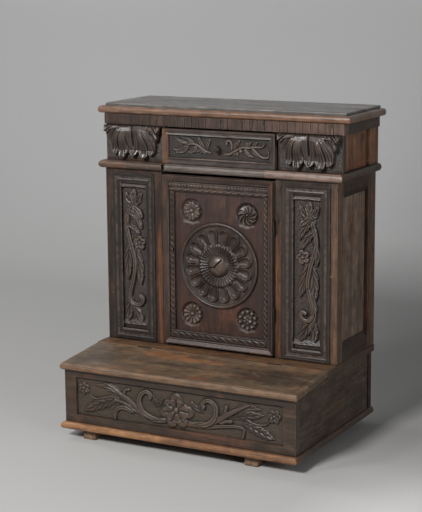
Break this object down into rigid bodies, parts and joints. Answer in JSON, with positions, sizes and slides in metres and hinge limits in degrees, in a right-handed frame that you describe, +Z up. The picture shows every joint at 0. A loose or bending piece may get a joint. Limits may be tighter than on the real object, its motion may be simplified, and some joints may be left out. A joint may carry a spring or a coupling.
{
  "type": "prayer stool",
  "caption": "Carved walnut prayer stool: kneeling chest with sloping hinged lid, cupboard with a hinged door behind it, and a drawer between leaf corbels under the top.",
  "frame": {"origin": "on the floor under the middle of the whole piece's bounding box", "axes": "+Z up; -Y is the front where a person kneels; +X is to the right of someone who looks at the front"},
  "size_m": [0.766, 0.518, 0.9],
  "materials": {
    "walnut": "waxed, dark and old",
    "worn_walnut": "rubbed pale on edges",
    "grey_walnut": "greyed flat upper face",
    "plain_wood": "unpolished",
    "iron": "dark wrought iron"
  },
  "bodies": {
    "case": {"base_board": "worn_walnut", "chest_back_board": "plain_wood", "chest_front": "walnut", "chest_side_left": "walnut", "chest_side_right": "walnut", "corbel_ground_left": "walnut", "corbel_ground_right": "walnut", "corbel_left": "walnut", "corbel_right": "walnut", "cupboard_back_board": "plain_wood", "cupboard_rear_stile_left": "walnut", "cupboard_rear_stile_right": "walnut", "door_hinge_lower_fixed": "iron", "door_hinge_upper_fixed": "iron", "foot_batten_left": "walnut", "foot_batten_right": "walnut", "frieze_front": "walnut", "frieze_left": "walnut", "frieze_right": "walnut", "lid_hinge_left_fixed": "iron", "lid_hinge_right_fixed": "iron", "lid_lock_plate": "iron", "pilaster_board_left": "walnut", "pilaster_board_right": "walnut", "pilaster_moulding_left": "walnut", "pilaster_moulding_right": "walnut", "shelf_board": "walnut", "side_bottom_rail_left": "walnut", "side_bottom_rail_right": "walnut", "side_panel_left": "walnut", "side_panel_right": "walnut", "side_top_rail_left": "walnut", "side_top_rail_right": "walnut", "stage_back_board": "plain_wood", "stage_side_left": "walnut", "stage_side_right": "walnut", "step_board": "grey_walnut", "top_board": "grey_walnut", "torus_centre": "worn_walnut", "torus_left": "worn_walnut", "torus_right": "worn_walnut"},
    "door": {"door_board": "walnut", "door_moulding": "walnut", "door_patera": "walnut", "door_lock_plate": "iron", "door_hinge_lower_moving": "iron", "door_hinge_upper_moving": "iron"},
    "lid": {"lid": "worn_walnut", "lid_hinge_left_moving": "iron", "lid_hinge_right_moving": "iron", "lid_staple": "iron"},
    "drawer": {"drawer_front": "walnut", "drawer_moulding": "walnut", "drawer_knob": "worn_walnut", "drawer_side_left": "plain_wood", "drawer_side_right": "plain_wood", "drawer_back": "plain_wood", "drawer_bottom": "plain_wood"},
    "door_bolt": {"door_lock_bolt": "iron"},
    "lid_bolt": {"lid_lock_bolt": "iron"}
  },
  "joints": [
    {"name": "door_hinge", "type": "hinge", "parent": "case", "child": "door", "pos_m": [0.1725, -0.0075, 0.4735], "axis": [0, 0, 1], "range_deg": [0, 175]},
    {"name": "lid_hinge", "type": "hinge", "parent": "case", "child": "lid", "pos_m": [0, -0.063, 0.229], "axis": [-1, 0, 0], "range_deg": [0, 96]},
    {"name": "drawer_slide", "type": "slide", "parent": "case", "child": "drawer", "axis": [0, -1, 0], "range_m": [0, 0.15]},
    {"name": "door_bolt_slide", "type": "slide", "parent": "door", "child": "door_bolt", "axis": [-1, 0, 0], "range_m": [0, 0.01]},
    {"name": "lid_bolt_slide", "type": "slide", "parent": "case", "child": "lid_bolt", "axis": [1, 0, 0], "range_m": [0, 0.01]}
  ]
}
